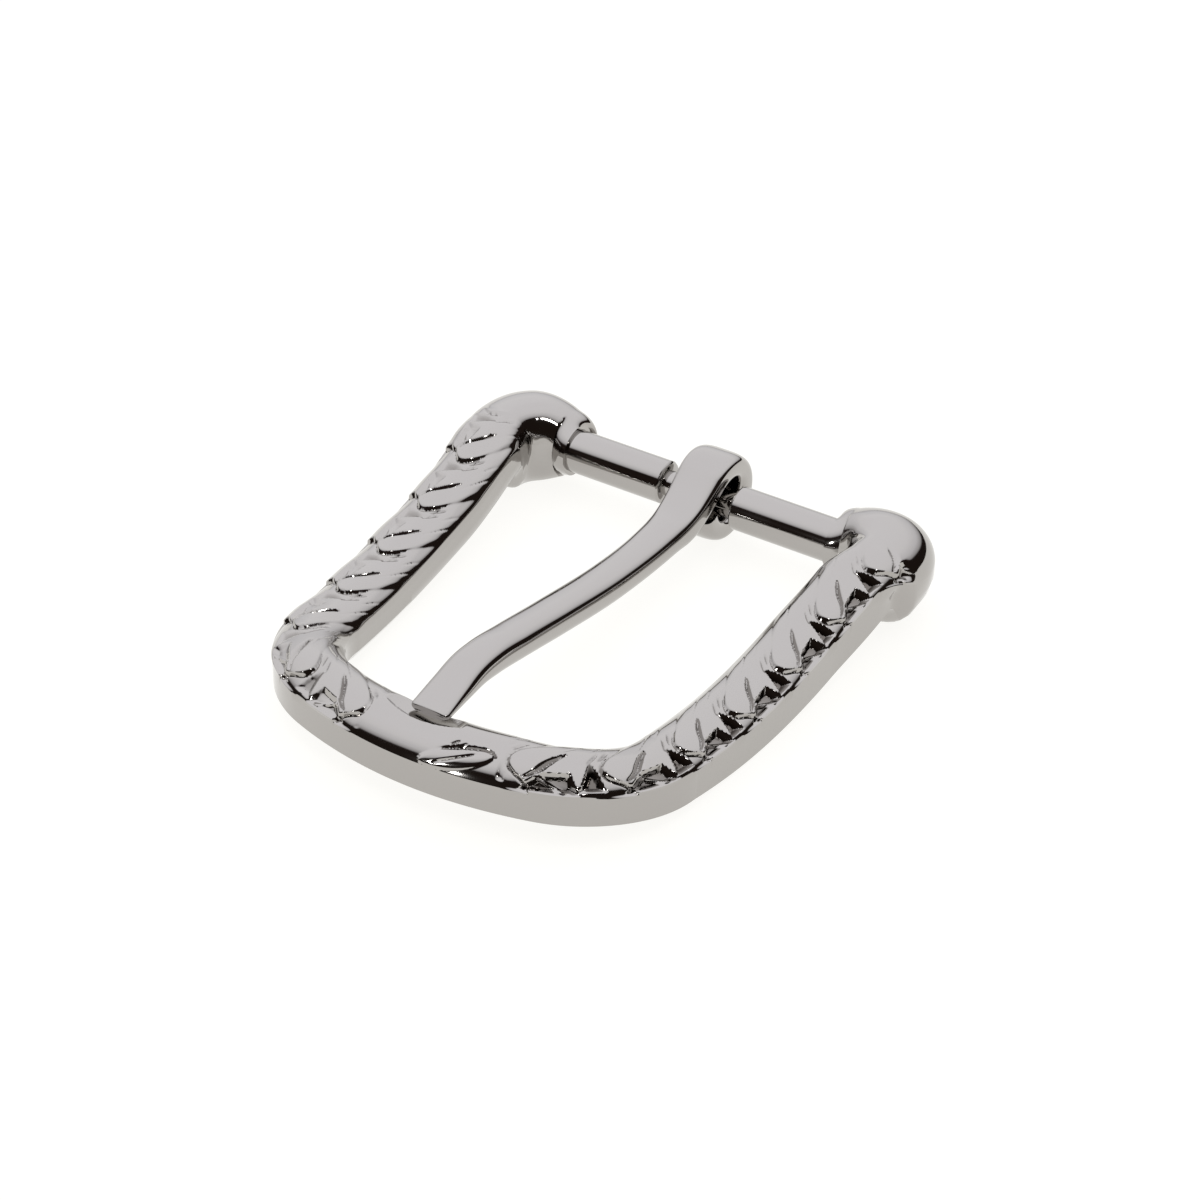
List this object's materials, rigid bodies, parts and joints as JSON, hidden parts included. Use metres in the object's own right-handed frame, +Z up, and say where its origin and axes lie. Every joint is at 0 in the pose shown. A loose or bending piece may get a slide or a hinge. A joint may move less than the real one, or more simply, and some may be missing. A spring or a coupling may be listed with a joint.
{
  "type": "belt buckle",
  "caption": "Horseshoe belt buckle frame with engraved crown, round lugs holding a necked heel bar, and a flat-topped prong that swings on the bar.",
  "frame": {"origin": "middle of the heel bar, on its axis", "axes": "+X along the heel bar, +Y from the front bar towards the heel, +Z up out of the face of the buckle"},
  "size_m": [0.0598, 0.0692, 0.0118],
  "materials": {
    "frame_plate": "bright nickel plate over a polished zinc die casting",
    "bar_plate": "bright nickel plate over turned steel",
    "prong_plate": "bright nickel plate over formed steel"
  },
  "bodies": {
    "buckle_body": {"frame": "frame_plate", "heel_bar": "bar_plate"},
    "prong_body": {"prong": "prong_plate"}
  },
  "joints": [
    {"name": "prong_swing", "type": "hinge", "parent": "buckle_body", "child": "prong_body", "pos_m": [0, 0, 0], "axis": [-1, 0, 0], "range_deg": [0, 170]}
  ]
}
